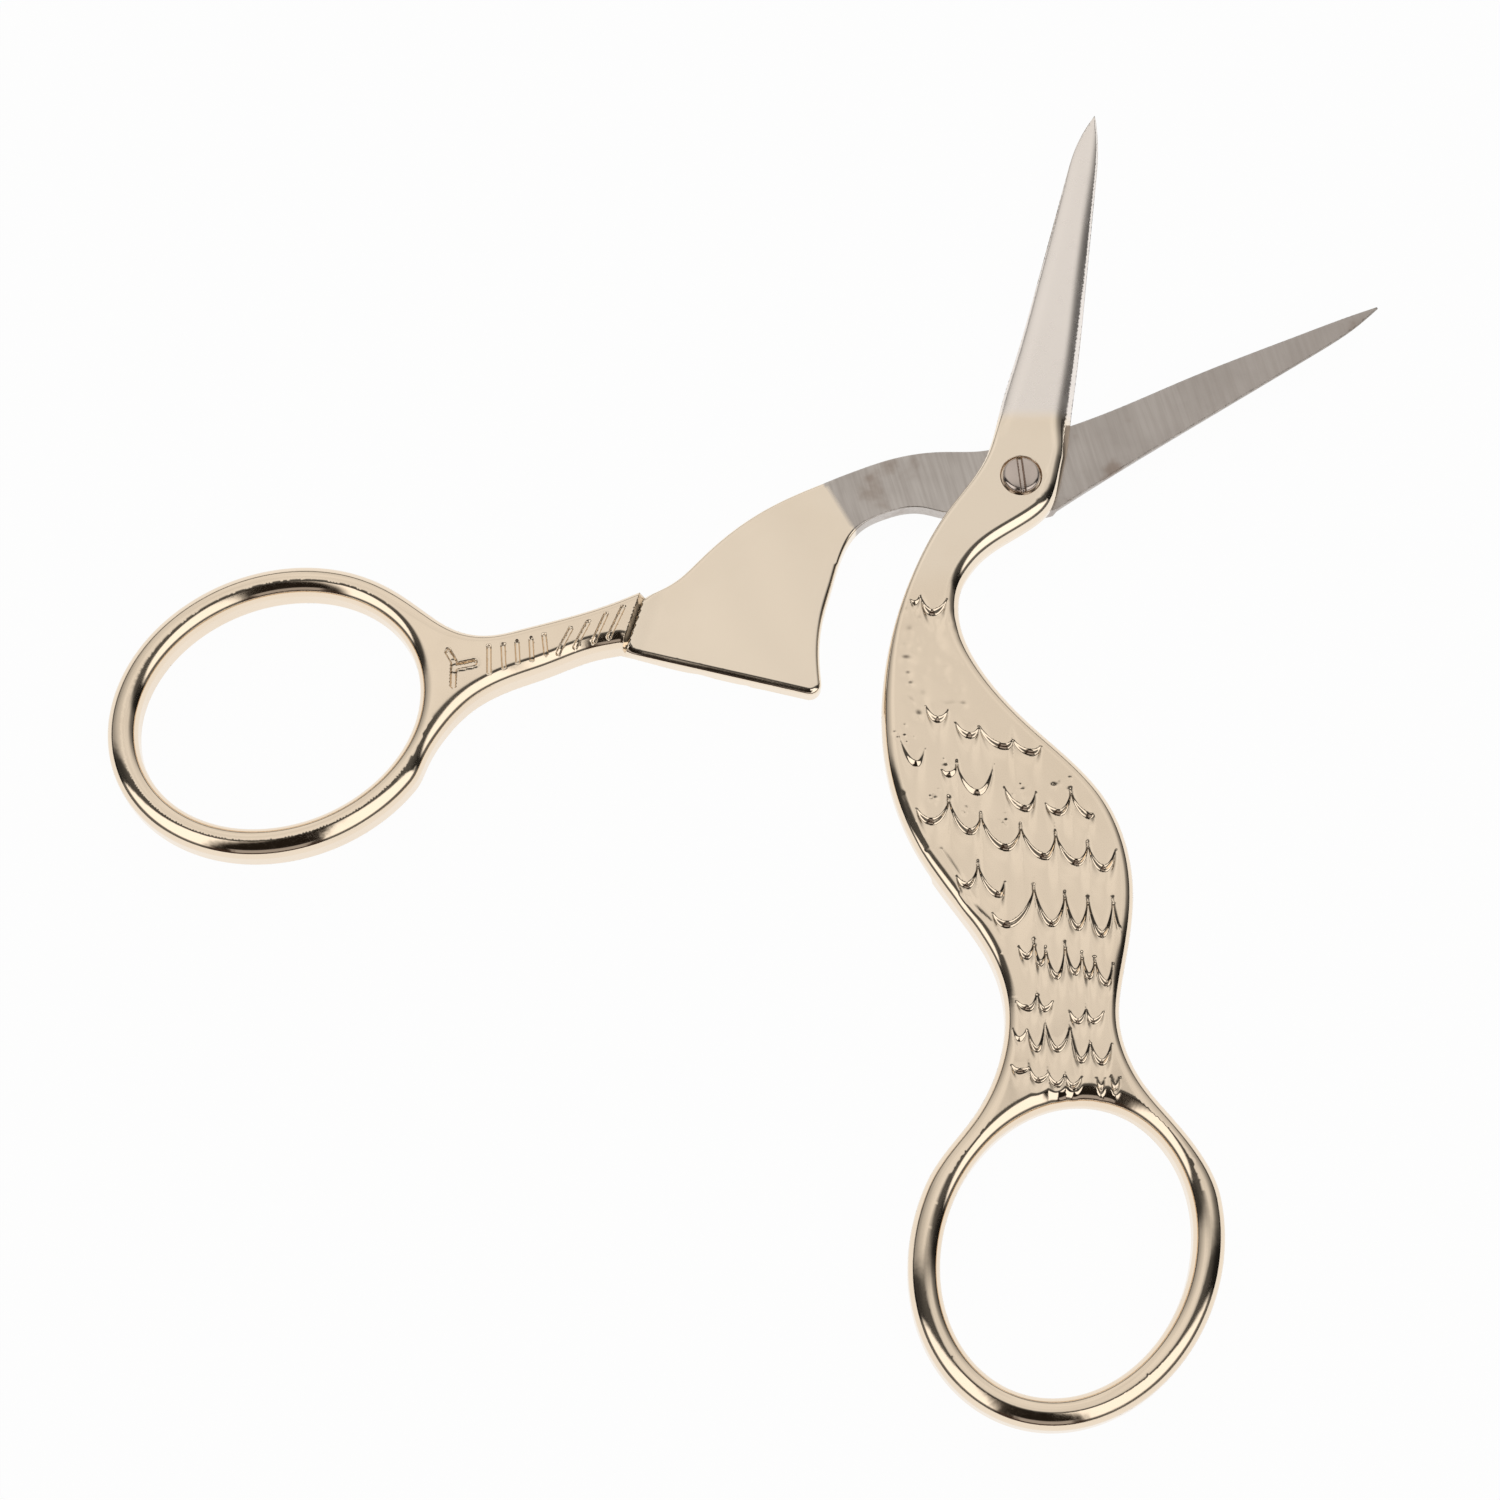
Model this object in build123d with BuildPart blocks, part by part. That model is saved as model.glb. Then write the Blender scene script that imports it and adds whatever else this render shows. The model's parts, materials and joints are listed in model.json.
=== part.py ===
from build123d import *
import os
from math import atan, cos, degrees, radians, sin

# Stork embroidery scissors, lying open on a table.
# The origin is under the pivot, on the table. +Z is up, +X and +Y lie in the plane of the blades.
# Lengths are millimetres and angles are degrees.

# Whole tool
half_thickness = 2.0
mating_gap = 0.05
front_handle_angle = -88.0
rear_handle_angle = -161.6
front_blade_angle = 78.0
rear_blade_angle = 27.7
handle_reach = 66.2
stop_clearance = 0.2
cut_overrun = 1.0
cutter_length = 260.0
cutter_width = 130.0

# Blades
blade_length = 35.7
blade_width = 6.4
blade_thickness = 1.9
tip_thickness = 0.55
edge_thickness = 0.12
bevel_width = 1.15
back_height = 0.6
shoulder_width = 0.75

# Handles
body_width = 18.5
plate_width = 16.5
corner_radius = 1.0
edge_round = 0.9

# Finger rings, with their size along the middle of the wire
ring_length = 26.9
ring_width = 22.4
ring_wire = 2.6
front_ring_turn = -23.5
rear_ring_turn = 5.8

# Pivot screw
shank_radius = 1.15
shank_clearance = 0.05
thread_clearance = 0.02
head_radius = 1.72
head_rim = 0.45
head_dome = 0.4
head_seat = 0.35
head_play = 0.03
head_margin = 0.15
slot_width = 0.55
slot_depth = 0.4
slot_angle = 85.0

# Feather relief and leg marks
feather_depth = 0.22
feather_run = 2.2
mark_depth = 0.2
mark_width = 0.36
mark_length = 2.1
mark_pitch = 1.2
slant_pitch = 1.6
straight_angle = 76.0
slanted_angle = 48.0
straight_marks = 5
slanted_marks = 4
toe_length = 1.6
first_toe_angle = 80.0
toe_spread = 92.0
toes = 3

# Outlines run beside the handle line, from the pivot towards the ring.
# Each point is a share of the reach, then a share of the body width or the plate width.
front_left_shares = [
    (-0.095, -0.082), (-0.032, -0.153), (0.046, -0.350), (0.129, -0.522), (0.227, -0.648),
    (0.325, -0.698), (0.426, -0.660), (0.504, -0.550), (0.582, -0.376), (0.642, -0.248),
    (0.714, -0.208),
]
front_right_shares = [
    (0.719, 0.292), (0.627, 0.352), (0.542, 0.394), (0.437, 0.297), (0.336, -0.015),
    (0.254, -0.248), (0.160, -0.326), (0.094, -0.226), (0.059, 0.020), (0.020, 0.140),
    (-0.025, 0.150), (-0.081, 0.148),
]
rear_top_shares = [
    (-0.030, -0.230), (0.027, -0.236), (0.083, -0.303), (0.148, -0.345), (0.207, -0.341),
    (0.300, -0.306), (0.373, -0.231), (0.429, -0.127), (0.464, -0.060), (0.509, -0.027),
    (0.555, -0.010), (0.621, -0.012), (0.698, -0.032), (0.738, -0.085),
]
rear_neck_shares = [
    (0.323, 0.577), (0.303, 0.386), (0.278, 0.234), (0.249, 0.070), (0.213, -0.045),
    (0.178, -0.070), (0.133, -0.042), (0.103, 0.030), (0.060, 0.080),
]
rear_heel_share = (-0.030, 0.196)
rear_corner_shares = [(0.563, 0.212), (0.335, 0.765)]
rear_leg_shares = [(0.737, 0.239), (0.662, 0.218), (0.595, 0.203)]
rear_step_shares = [(0.513, -0.035), (0.562, 0.231)]

# Where each outline runs into its ring, as shares of the ring's half length and half width.
front_foot_left_shares = [(-0.93, -0.50), (-0.70, -0.74)]
front_foot_right_shares = [(-0.62, 0.92), (-0.78, 0.80), (-0.96, 0.63)]
rear_foot_top_shares = [(-1.12, -0.31), (-0.87, -0.62)]
rear_foot_leg_shares = [(-0.74, 0.74), (-0.87, 0.62), (-1.05, 0.45)]

# Each blade station is a share of the length, then shares of the blade width for the cutting
# edge and the back. The grinding runs past three of the stations.
front_blade_shares = [
    (-0.05, 0.300, 0.300), (0.00, 0.530, 0.480), (0.16, 0.515, 0.455), (0.50, 0.366, 0.315),
    (0.80, 0.210, 0.225), (0.93, 0.115, 0.145), (1.00, 0.020, 0.035),
]
rear_blade_shares = [
    (-0.04, 0.360, 0.156), (0.05, 0.480, 0.547), (0.16, 0.440, 0.485), (0.50, 0.286, 0.330),
    (0.80, 0.135, 0.205), (0.93, 0.058, 0.118), (1.00, 0.005, 0.025),
]
ground_stations = (2, 3, 4)
feather_drop_share = 0.46

# Feather rows: start along and across, end along and across, and the feathers in the row.
feather_row_shares = [
    (0.310, -0.50, 0.368, 0.00, 5), (0.352, -0.60, 0.432, 0.25, 7), (0.445, -0.55, 0.505, 0.31, 6),
    (0.503, -0.48, 0.545, -0.10, 3), (0.583, -0.24, 0.575, 0.32, 5), (0.632, -0.14, 0.648, 0.28, 5),
    (0.697, -0.15, 0.708, 0.24, 4), (0.742, -0.15, 0.755, 0.24, 4), (0.785, -0.17, 0.798, 0.26, 5),
]
mark_line_share = 0.108
first_mark_share = 0.722
first_slant_share = 0.627
toe_share = 0.772
toe_across_share = 0.073

# Heights and angles that follow from the sizes
mating_top = half_thickness + mating_gap
full_height = mating_top + half_thickness
closing_angle = front_blade_angle - rear_blade_angle
up = Vector(0, 0, 1)


def turned_plane(angle, height=0):
    """The level plane at a height, with its X axis turned to an angle about the pivot."""
    return Plane(origin=(0, 0, height), x_dir=(cos(radians(angle)), sin(radians(angle)), 0), z_dir=up)


def spots(shares, width):
    """Points beside the handle line, from shares of the reach and of a width."""
    return [(along * handle_reach, across * width) for along, across in shares]


def ring_spots(shares):
    """Points beside the handle line, from shares of the ring's half sizes about its centre."""
    return [(handle_reach + along * ring_length / 2, across * ring_width / 2) for along, across in shares]


def ring_shape(turn):
    """Adds the finger ring at the end of the handle line to the sketch being drawn."""
    with Locations(Location((handle_reach, 0), turn)):
        Ellipse((ring_length + ring_wire) / 2, (ring_width + ring_wire) / 2)
        Ellipse((ring_length - ring_wire) / 2, (ring_width - ring_wire) / 2, mode=Mode.SUBTRACT)


def front_outline():
    """The front handle's outline: head, neck, feathered body and the flare into the ring."""
    left = spots(front_left_shares, body_width) + ring_spots(front_foot_left_shares)
    right = ring_spots(front_foot_right_shares) + spots(front_right_shares, body_width)
    with BuildSketch(turned_plane(front_handle_angle)) as outline:
        with BuildLine():
            Spline(*left)
            Line(left[-1], right[0])
            Spline(*right)
            Line(right[-1], left[0])
        make_face()
        ring_shape(front_ring_turn)
    return outline.sketch


def rear_outline():
    """The rear handle's outline: heel, neck, plate, leg and the flare into the ring."""
    top = spots(rear_top_shares, plate_width) + ring_spots(rear_foot_top_shares)
    leg = ring_spots(rear_foot_leg_shares) + spots(rear_leg_shares, plate_width)
    corners = spots(rear_corner_shares, plate_width)
    neck = spots(rear_neck_shares, plate_width)
    heel = spots([rear_heel_share], plate_width)
    with BuildSketch(turned_plane(rear_handle_angle)) as outline:
        with BuildLine():
            Spline(*top)
            Line(top[-1], leg[0])
            Spline(*leg, corners[0])
            Line(*corners)
            Spline(corners[-1], *neck)
            Polyline(neck[-1], *heel, top[0])
        make_face()
        ring_shape(rear_ring_turn)
    return outline.sketch


def face_edges(part, end):
    """The edges of the handle's top face, end -1, or of its under face, end 0."""
    return part.faces().filter_by(Plane.XY).sort_by(Axis.Z)[end].edges()


def pocket(plane, start, end, margin):
    """A wide rectangle on the pivot's side of a line across a handle, moved off by a margin."""
    near = plane.from_local_coords(Vector(*start))
    far = plane.from_local_coords(Vector(*end))
    with BuildSketch(Plane(origin=near, x_dir=far - near, z_dir=up)) as side:
        with Locations((0, -margin)):
            Rectangle(cutter_length, cutter_width, align=(Align.CENTER, Align.MIN))
    return side.sketch


def ground_plane(plane, spots_on_plane):
    """The plane of a ground face through three places on a blade."""
    first, second, third = [plane.from_local_coords(Vector(*spot)) for spot in spots_on_plane]
    return Plane(origin=first, x_dir=second - first, z_dir=(second - first).cross(third - first))


def blade_solid(plane, shares):
    """A blade cut to its outline, then ground thinner to the tip, to its edge and to its back."""
    edge = [(along * blade_length, -cutting * blade_width) for along, cutting, back in shares]
    spine = [(along * blade_length, back * blade_width) for along, cutting, back in shares]
    heel_edge, mid_edge, far_edge = [edge[number] for number in ground_stations]
    heel_spine, mid_spine, far_spine = [spine[number] for number in ground_stations]
    tip = (blade_length, 0)
    mid_height = (blade_thickness + tip_thickness) / 2
    flat_start = (heel_edge[0], 0)
    taper = [(*flat_start, blade_thickness), (*tip, tip_thickness), (*heel_spine, blade_thickness)]
    bevel = [(*heel_edge, edge_thickness), (*far_edge, edge_thickness),
             (mid_edge[0], mid_edge[1] + bevel_width, mid_height)]
    shoulder = [(*far_spine, back_height), (*heel_spine, back_height),
                (mid_spine[0], mid_spine[1] - shoulder_width, mid_height)]
    with BuildPart(mode=Mode.PRIVATE) as blade:
        with BuildSketch(plane.offset(-cut_overrun)):
            with BuildLine():
                Polyline(*edge, *reversed(spine), close=True)
            make_face()
        extrude(amount=cut_overrun + blade_thickness)
        for ground in (taper, bevel, shoulder):
            split(bisect_by=ground_plane(plane, ground), keep=Keep.BOTTOM)
    return blade.part


def feather_row(start_along, start_across, end_along, end_across, count):
    """A shallow bed cut under one row of feathers, deepest at the row and running out below it."""
    ends = spots([(start_along, start_across), (end_along, end_across)], body_width)
    flat = turned_plane(front_handle_angle, full_height - feather_depth)
    start, end = [flat.from_local_coords(Vector(*spot)) for spot in ends]
    slope = degrees(atan(feather_depth / feather_run))
    bed_plane = Plane(origin=start, x_dir=end - start, z_dir=up).rotated((-slope, 0, 0))
    row_length = (end - start).length
    feather_width = row_length / count
    feather_drop = feather_width * feather_drop_share
    with BuildSketch(bed_plane) as bed:
        with BuildLine():
            for number in range(count):
                left = feather_width * number
                ThreePointArc(
                    (left, 0), (left + feather_width / 2, -feather_drop), (left + feather_width, 0)
                )
            far = -feather_drop - feather_run
            Polyline((row_length, 0), (row_length, far), (0, far), (0, 0))
        make_face()
    return bed.sketch


os.makedirs("parts", exist_ok=True)

# Beds under the feather rows of the front face, and the same rows on the bird's other side
with BuildPart() as feather_beds:
    for row in feather_row_shares:
        extrude(feather_row(*row), amount=cut_overrun)
back_beds = mirror(feather_beds.part, about=Plane.XY.offset(full_height / 2), mode=Mode.PRIVATE)

# Front half: the upper blade, head, neck, feathered body and right-hand ring in one forging
rear_closed = turned_plane(rear_handle_angle + closing_angle)
with BuildPart() as front_half:
    extrude(front_outline(), amount=full_height)
    fillet(face_edges(front_half, -1), radius=edge_round)
    add(blade_solid(turned_plane(front_blade_angle, mating_top), front_blade_shares))
    plate_edge = spots(rear_corner_shares, plate_width)
    extrude(pocket(rear_closed, *plate_edge, stop_clearance), amount=mating_top, mode=Mode.SUBTRACT)
    fillet(face_edges(front_half, 0), radius=edge_round)
    add(feather_beds.part, mode=Mode.SUBTRACT)
    add(back_beds, mode=Mode.SUBTRACT)
    with Locations((0, 0, full_height)):
        CounterBoreHole(shank_radius + shank_clearance, head_radius + head_margin, head_seat)
front_half.part.label = "front_half"
export_step(front_half.part, "parts/front_half.step")

# Rear half: the lower blade, neck, flat plate, leg and left-hand ring in one forging
with BuildPart() as rear_half:
    extrude(rear_outline(), amount=full_height)
    plate_corner = turned_plane(rear_handle_angle).from_local_coords(Vector(*plate_edge[-1]))
    fillet(rear_half.edges().filter_by(Axis.Z).sort_by_distance(plate_corner)[0], radius=corner_radius)
    step_line = spots(rear_step_shares, plate_width)
    above_plate = pocket(turned_plane(rear_handle_angle, half_thickness), *step_line, 0)
    fillet(face_edges(rear_half, -1), radius=edge_round)
    fillet(face_edges(rear_half, 0), radius=edge_round)
    rear_blade_plane = Plane(
        origin=(0, 0, half_thickness), x_dir=turned_plane(rear_blade_angle).x_dir, z_dir=-up
    )
    add(blade_solid(rear_blade_plane, rear_blade_shares))
    extrude(above_plate, amount=full_height, mode=Mode.SUBTRACT)
    add(back_beds.rotate(Axis.Z, -closing_angle), mode=Mode.SUBTRACT)
    mark_plane = turned_plane(rear_handle_angle, full_height)
    mark_across = plate_width * mark_line_share
    toe_spot = (handle_reach * toe_share, plate_width * toe_across_share)
    for number in range(straight_marks):
        along = handle_reach * first_mark_share - mark_pitch * number
        with BuildSketch(mark_plane) as mark:
            with Locations(Location((along, mark_across), straight_angle)):
                SlotOverall(mark_length, mark_width)
        extrude(mark.sketch, amount=-mark_depth, mode=Mode.SUBTRACT)
    for number in range(slanted_marks):
        along = handle_reach * first_slant_share - slant_pitch * number
        with BuildSketch(mark_plane) as mark:
            with Locations(Location((along, mark_across), slanted_angle)):
                SlotOverall(mark_length, mark_width)
        extrude(mark.sketch, amount=-mark_depth, mode=Mode.SUBTRACT)
    for number in range(toes):
        with BuildSketch(mark_plane) as toe:
            toe_angle = first_toe_angle + toe_spread * number
            with Locations(Location(toe_spot, toe_angle)):
                SlotOverall(toe_length, mark_width, align=(Align.MIN, Align.CENTER))
        extrude(toe.sketch, amount=-mark_depth, mode=Mode.SUBTRACT)
    with Locations((0, 0, half_thickness)):
        Hole(shank_radius + thread_clearance)
rear_half.part.label = "rear_half"
export_step(rear_half.part, "parts/rear_half.step")

# Pivot screw: a domed slotted head in its seat, and a shank that ends flush with the under face
head_base = full_height - head_seat + head_play
with BuildPart() as pivot_screw:
    Cylinder(shank_radius, head_base, align=(Align.CENTER, Align.CENTER, Align.MIN))
    with BuildSketch(Plane.XZ) as head_profile:
        with BuildLine():
            Polyline((0, head_base + head_rim + head_dome), (0, head_base), (head_radius, head_base),
                     (head_radius, head_base + head_rim))
            dome_radius = (head_radius**2 + head_dome**2) / (2 * head_dome)
            RadiusArc((head_radius, head_base + head_rim), (0, head_base + head_rim + head_dome), -dome_radius)
        make_face()
    revolve(axis=Axis.Z)
    slot_floor = head_base + head_rim + head_dome - slot_depth
    with BuildSketch(turned_plane(slot_angle, slot_floor)):
        Rectangle(head_radius * 2 + cut_overrun, slot_width)
    extrude(amount=head_rim + head_dome, mode=Mode.SUBTRACT)
pivot_screw.part.label = "pivot_screw"
export_step(pivot_screw.part, "parts/pivot_screw.step")
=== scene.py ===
import json
from math import cos, hypot, pi, radians, sin

import bpy
import numpy as np
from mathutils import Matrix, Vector
from mathutils.geometry import delaunay_2d_cdt
from mathutils.kdtree import KDTree

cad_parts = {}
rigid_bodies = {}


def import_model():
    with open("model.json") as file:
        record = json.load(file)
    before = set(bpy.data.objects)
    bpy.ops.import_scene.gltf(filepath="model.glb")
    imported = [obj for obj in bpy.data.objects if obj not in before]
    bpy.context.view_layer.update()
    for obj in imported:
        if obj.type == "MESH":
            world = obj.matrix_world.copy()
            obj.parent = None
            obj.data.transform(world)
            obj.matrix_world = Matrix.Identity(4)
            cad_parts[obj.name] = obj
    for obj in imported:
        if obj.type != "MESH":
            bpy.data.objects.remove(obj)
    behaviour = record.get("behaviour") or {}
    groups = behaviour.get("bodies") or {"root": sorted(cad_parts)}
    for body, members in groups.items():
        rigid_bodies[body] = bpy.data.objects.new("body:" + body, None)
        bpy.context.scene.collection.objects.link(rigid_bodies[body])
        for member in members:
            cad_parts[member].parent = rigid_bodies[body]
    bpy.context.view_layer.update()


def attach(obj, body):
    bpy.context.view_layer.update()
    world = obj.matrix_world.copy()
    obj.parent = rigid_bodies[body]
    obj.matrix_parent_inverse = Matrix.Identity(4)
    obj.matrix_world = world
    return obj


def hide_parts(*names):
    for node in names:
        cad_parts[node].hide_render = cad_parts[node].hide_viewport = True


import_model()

# Lengths below are in millimetres, and are written to the meshes in metres.
# Places are measured from the pivot, with x to the right and y away from the camera.
# A half's own frame runs along its handle line or blade line, and across it.
MM = 0.001

# Heights of the rear half's mating face, the front half's mating face, and the upper face
HALF = 2.0
MATING = 2.05
FULL = 4.05

# Directions of the handle lines and blade lines, in degrees
FRONT_ANGLE = -88.0
REAR_ANGLE = -161.6
FRONT_BLADE = 78.0
REAR_BLADE = 27.7

# Finger rings: distance of the middle, two widths, wire, and turn of the long axis
REACH = 66.2
RING_LONG = 26.9
RING_WIDE = 22.4
WIRE = 2.6
FRONT_TURN = -23.5
REAR_TURN = 5.8
# The front ring lies this much farther out than the solid's
FRONT_RING_SHIFT = 0.38
# Where each ring's outer edge starts, and how far it goes round, in degrees
FRONT_RIM = (-93.0, 218.0)
REAR_RIM = (-150.0, 272.0)

# Blades: length, where the taper starts, and the thickness there, at the tip and at the edge
BLADE = 35.7
BLADE_ROOT = 5.7
BLADE_THICK = 1.9
TIP_THICK = 0.55
EDGE_THICK = 0.12

# Radii of the bores, and of the soft wall round the screw's seat, with its depth
FRONT_BORE = 1.2
REAR_BORE = 1.17
SEAT_IN, SEAT_OUT = 1.70, 1.78
SEAT_DEPTH = 0.35

# The photograph's camera: tilt, distance, focal length in pixels, and the place it looks at
ELEVATION = radians(72.5)
DISTANCE = 319.5
FOCAL_PX = 3796.0
AIM = (-23.208, -24.015, 2.05)
PHOTO_SIZE = 1500.0
# The pivot's pixel, its height over the mating plane, and the height of the marks over the floor
PIVOT_PX = (1022.0, 471.0)
PIVOT_RAISE = 3.0
MARK_HEIGHT = 3.9

# Spacing of the points on the borders, and how near they may lie
STEP = 0.25
BORE_STEP = STEP * 0.7
SAME_PLACE = 0.03


def plan(px, py):
    """The place of a mark on the upper face that a pixel of the photograph shows."""
    s, c = sin(ELEVATION), cos(ELEVATION)
    out = []
    for x, y, h in ((px, py, MARK_HEIGHT - MATING), (*PIVOT_PX, PIVOT_RAISE)):
        u, v = x - PHOTO_SIZE / 2, PHOTO_SIZE / 2 - y
        far = (v * (DISTANCE - h * s) - FOCAL_PX * h * c) / (FOCAL_PX * s - v * c)
        depth = DISTANCE + far * c - h * s
        out.append((u * depth / FOCAL_PX, far))
    return np.subtract(*out)


def turned(points, angle):
    """Points of a frame that is turned by an angle, as places of the object."""
    c, s = cos(radians(angle)), sin(radians(angle))
    p = np.atleast_2d(np.array(points, float))
    return np.stack([p[:, 0] * c - p[:, 1] * s, p[:, 0] * s + p[:, 1] * c], 1)


def local(x, y, angle):
    """Places of the object in a frame that is turned by an angle."""
    c, s = cos(radians(angle)), sin(radians(angle))
    return x * c + y * s, -x * s + y * c


def marked(pixels, angle):
    """Marks at pixels of the photograph, along and across a handle line."""
    return np.array([local(*plan(px, py), angle) for px, py in pixels])


def lengths(p):
    """How far along a chain each of its points lies."""
    return np.concatenate([[0], np.cumsum(np.hypot(*np.diff(p, axis=0).T))])


def evenly(p, count):
    """A chain again, with its points at a steady step."""
    arc = lengths(p)
    even = np.linspace(0, arc[-1], count)
    return np.stack([np.interp(even, arc, p[:, 0]), np.interp(even, arc, p[:, 1])], 1)


def smooth_curve(points, first=None, last=None):
    """A cubic spline through points, with a point at each step. first and last are end directions."""
    sampling = 0.02
    p = np.array(points, float)
    t = lengths(p)
    n = len(t)
    h = np.diff(t)
    a = np.zeros((n, n))
    r = np.zeros((n, 2))
    for i in range(1, n - 1):
        a[i, i - 1], a[i, i], a[i, i + 1] = h[i - 1], 2 * (h[i - 1] + h[i]), h[i]
        r[i] = 6 * ((p[i + 1] - p[i]) / h[i] - (p[i] - p[i - 1]) / h[i - 1])
    a[0, 0] = a[-1, -1] = 1
    if first is not None:
        a[0, 0], a[0, 1] = 2 * h[0], h[0]
        r[0] = 6 * ((p[1] - p[0]) / h[0] - np.array(first, float))
    if last is not None:
        a[-1, -1], a[-1, -2] = 2 * h[-1], h[-1]
        r[-1] = 6 * (np.array(last, float) - (p[-1] - p[-2]) / h[-1])
    m = np.linalg.solve(a, r)
    fine = np.linspace(0, t[-1], int(t[-1] / sampling) + 2)
    k = np.clip(np.searchsorted(t, fine, side="right") - 1, 0, n - 2)
    d0 = (fine - t[k])[:, None]
    d1 = (t[k + 1] - fine)[:, None]
    hk = h[k][:, None]
    bend = (m[k] * d1**3 + m[k + 1] * d0**3) / (6 * hk)
    q = bend + (p[k] / hk - m[k] * hk / 6) * d1 + (p[k + 1] / hk - m[k + 1] * hk / 6) * d0
    return evenly(q, max(2, int(round(lengths(q)[-1] / STEP)) + 1))


def ring_points(handle_angle, turn, grow, start, sweep):
    """Points along a finger ring's edge: grow is half the wire outwards or inwards."""
    a, b = RING_LONG / 2 + grow, RING_WIDE / 2 + grow
    count = max(3, int(abs(radians(sweep)) * (a + b) / 2 / STEP))
    t = np.radians(np.linspace(start, start + sweep, count))
    p = turned(np.stack([a * np.cos(t), b * np.sin(t)], 1), turn)
    p[:, 0] += REACH + (FRONT_RING_SHIFT if handle_angle == FRONT_ANGLE else 0.0)
    return turned(p, handle_angle)


def circle(radius, step):
    t = np.linspace(0, 2 * pi, max(24, int(2 * pi * radius / step)), endpoint=False)
    return np.stack([radius * np.cos(t), radius * np.sin(t)], 1)


# Outlines along and across each handle line, from the head to the ring and back
front_left = [
    (-2.1, -2.8), (3.0, -6.5), (8.5, -9.7), (15.0, -12.0), (21.5, -12.9), (28.2, -12.2), (33.4, -10.2),
    (38.5, -7.0), (42.5, -4.75), (46.5, -3.9), (50.4, -4.43), (52.9, -5.4), (55.4, -6.95), (57.8, -9.0)]
front_right = [
    (58.4, 10.95), (55.9, 9.15), (53.3, 7.2), (50.7, 5.95), (47.6, 5.45), (44.5, 5.9), (41.5, 6.6),
    (35.9, 7.3), (28.9, 5.5), (22.2, -0.3), (16.8, -4.4), (13.6, -5.7), (11.0, -5.85), (9.6, -5.5),
    (8.3, -4.75), (7.0, -3.6)]
rear_top = [
    (-2.0, -3.75), (1.8, -3.9), (5.5, -5.0), (9.8, -5.7), (13.7, -5.6), (19.9, -5.05), (24.7, -3.8),
    (28.4, -2.1), (30.7, -1.0), (33.7, -0.45), (36.7, -0.2), (41.1, -0.2), (44.8, -0.4), (47.6, -0.75),
    (50.0, -2.1), (51.8, -4.3)]
rear_leg = [(55.7, 8.05), (53.4, 6.0), (50.5, 4.4), (47.5, 3.75), (43.8, 3.6), (39.4, 3.4), (37.3, 3.65)]
rear_corner = (22.3, 12.95)
rear_neck = [
    (21.4, 9.5), (20.05, 6.35), (18.4, 3.85), (16.5, 1.15), (14.1, -0.75), (11.8, -1.15), (8.8, -0.7),
    (6.8, 0.5), (4.0, 1.3)]
rear_heel = (-2.0, 3.2)
# The head's right side, as places of the object
front_head = [(-0.95, -5.35), (1.05, -4.05), (2.45, -2.75), (3.3, -0.9), (3.75, 1.0), (4.2, 3.1)]
# Blades along and across each blade line
blade_edge_front = [(5.7, -3.32), (11.0, -2.95), (17.85, -2.36), (28.56, -1.34), (33.2, -0.72), (35.2, -0.2)]
blade_back_front = [(35.2, 0.24), (33.2, 0.90), (28.56, 1.44), (17.85, 2.04), (11.0, 2.5), (5.7, 2.93)]
blade_edge_rear = [
    (-1.4, 2.3), (1.8, 3.07), (5.7, 2.82), (17.85, 1.83), (28.56, 0.86), (33.2, 0.37), (35.7, 0.03)]
blade_back_rear = [
    (35.7, -0.14), (33.2, -0.76), (28.56, -1.31), (17.85, -2.11), (5.7, -3.10), (1.8, -3.50), (-1.4, -1.0)]


def rounded_corner(b, c, a, radius=1.0, count=9):
    """Points of an arc that rounds the corner c between the places b and a."""
    e, f = (b - c) / np.linalg.norm(b - c), (a - c) / np.linalg.norm(a - c)
    half = np.arccos(np.clip(e @ f, -1, 1)) / 2
    mid = c + (e + f) / np.linalg.norm(e + f) * radius / np.sin(half)
    start = c + e * radius / np.tan(half)
    end = c + f * radius / np.tan(half)
    p0, p1 = np.arctan2(*(start - mid)[::-1]), np.arctan2(*(end - mid)[::-1])
    turn = (p1 - p0 + pi) % (2 * pi) - pi
    t = p0 + turn * np.linspace(0, 1, count)
    return np.stack([mid[0] + radius * np.cos(t), mid[1] + radius * np.sin(t)], 1)


def straight(a, b):
    n = max(1, int(hypot(*(b - a)) / STEP))
    t = np.linspace(0, 1, n + 1)[:, None]
    return a * (1 - t) + b * t


def join(*chains):
    """Chains end to end as one closed loop, with no point twice."""
    out = []
    for p in np.concatenate(chains):
        if not out or hypot(*(p - out[-1])) > SAME_PLACE:
            out.append(p)
    while hypot(*(out[0] - out[-1])) < SAME_PLACE:
        out.pop()
    return np.array(out)


def ring_edges(handle_angle, turn, rim):
    """A ring's two edges, and the directions of an outline that runs into it and out."""
    p = ring_points(handle_angle, turn, WIRE / 2, *rim)
    finger = ring_points(handle_angle, turn, -WIRE / 2, 0.0, 360.0)[:-1]
    into, out = p[1] - p[0], p[-1] - p[-2]
    return p, finger, into / np.hypot(*into), out / np.hypot(*out)


def front_loops():
    rim, finger, into, out = ring_edges(FRONT_ANGLE, FRONT_TURN, FRONT_RIM)
    back, edge = turned(blade_back_front, FRONT_BLADE), turned(blade_edge_front, FRONT_BLADE)
    left = np.concatenate([back, turned(front_left, FRONT_ANGLE), rim[:1]])
    right = np.concatenate([rim[-1:], turned(front_right, FRONT_ANGLE), front_head, edge])
    outer = join(
        smooth_curve(left, last=into), rim,
        smooth_curve(right, first=out), turned([(BLADE, 0.05)], FRONT_BLADE),
    )
    return [outer, finger, circle(FRONT_BORE, BORE_STEP)]


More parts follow.
